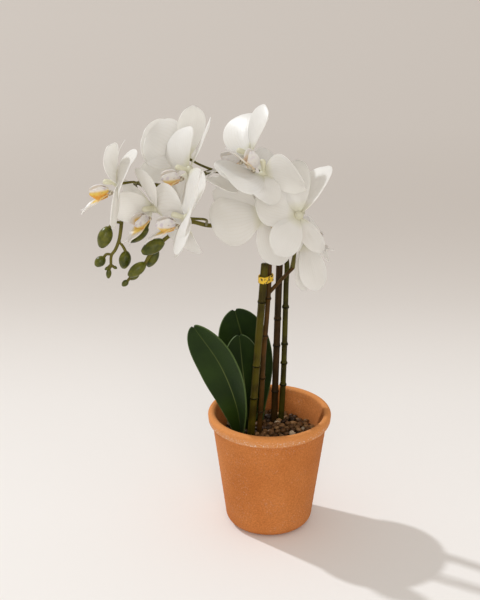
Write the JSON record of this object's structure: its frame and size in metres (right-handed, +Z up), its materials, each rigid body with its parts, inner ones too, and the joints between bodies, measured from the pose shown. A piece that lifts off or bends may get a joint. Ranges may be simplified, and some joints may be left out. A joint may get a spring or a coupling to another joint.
{
  "type": "potted orchid",
  "caption": "Moth orchid with white blooms on arching stems, bud sprays, support canes and strap leaves in a rimmed terracotta pot with pebbles.",
  "frame": {"origin": "centre of the pot's base, on the table", "axes": "+Z up, -Y toward the viewer of the picture, +X to the viewer's right"},
  "size_m": [0.2538, 0.2095, 0.4538],
  "materials": {
    "terracotta": "unglazed matt clay with chalky bloom under the rim",
    "mix": "dark bark potting mix",
    "pebble": "small matt brown and tan pebbles",
    "cane": "smooth dark olive cane with joints",
    "stem": "smooth dark green to brown stem with scars",
    "leaf": "leathery dark green, soft sheen",
    "petal": "white satin petal with fine veins",
    "lip": "white to yellow and orange with dark red spots",
    "strap": "soft yellow strap with dark spots"
  },
  "bodies": {
    "root": {"pot": "terracotta", "potting_mix": "mix", "gravel": "pebble", "cane_front": "cane", "cane_back": "cane", "stem_left": "stem", "stem_low": "stem", "strap": "strap", "leaf_front": "leaf", "leaf_middle": "leaf", "leaf_rear": "leaf", "petals_far_left": "petal", "lip_far_left": "lip", "petals_left": "petal", "lip_left": "lip", "petals_low_left": "petal", "lip_low_left": "lip", "petals_middle": "petal", "lip_middle": "lip", "petals_rear": "petal", "lip_rear": "lip", "petals_crown": "petal", "lip_crown": "lip", "petals_inner": "petal", "lip_inner": "lip", "petals_front": "petal", "lip_front": "lip", "petals_right": "petal", "lip_right": "lip", "petals_low_right": "petal", "lip_low_right": "lip"}
  },
  "joints": []
}
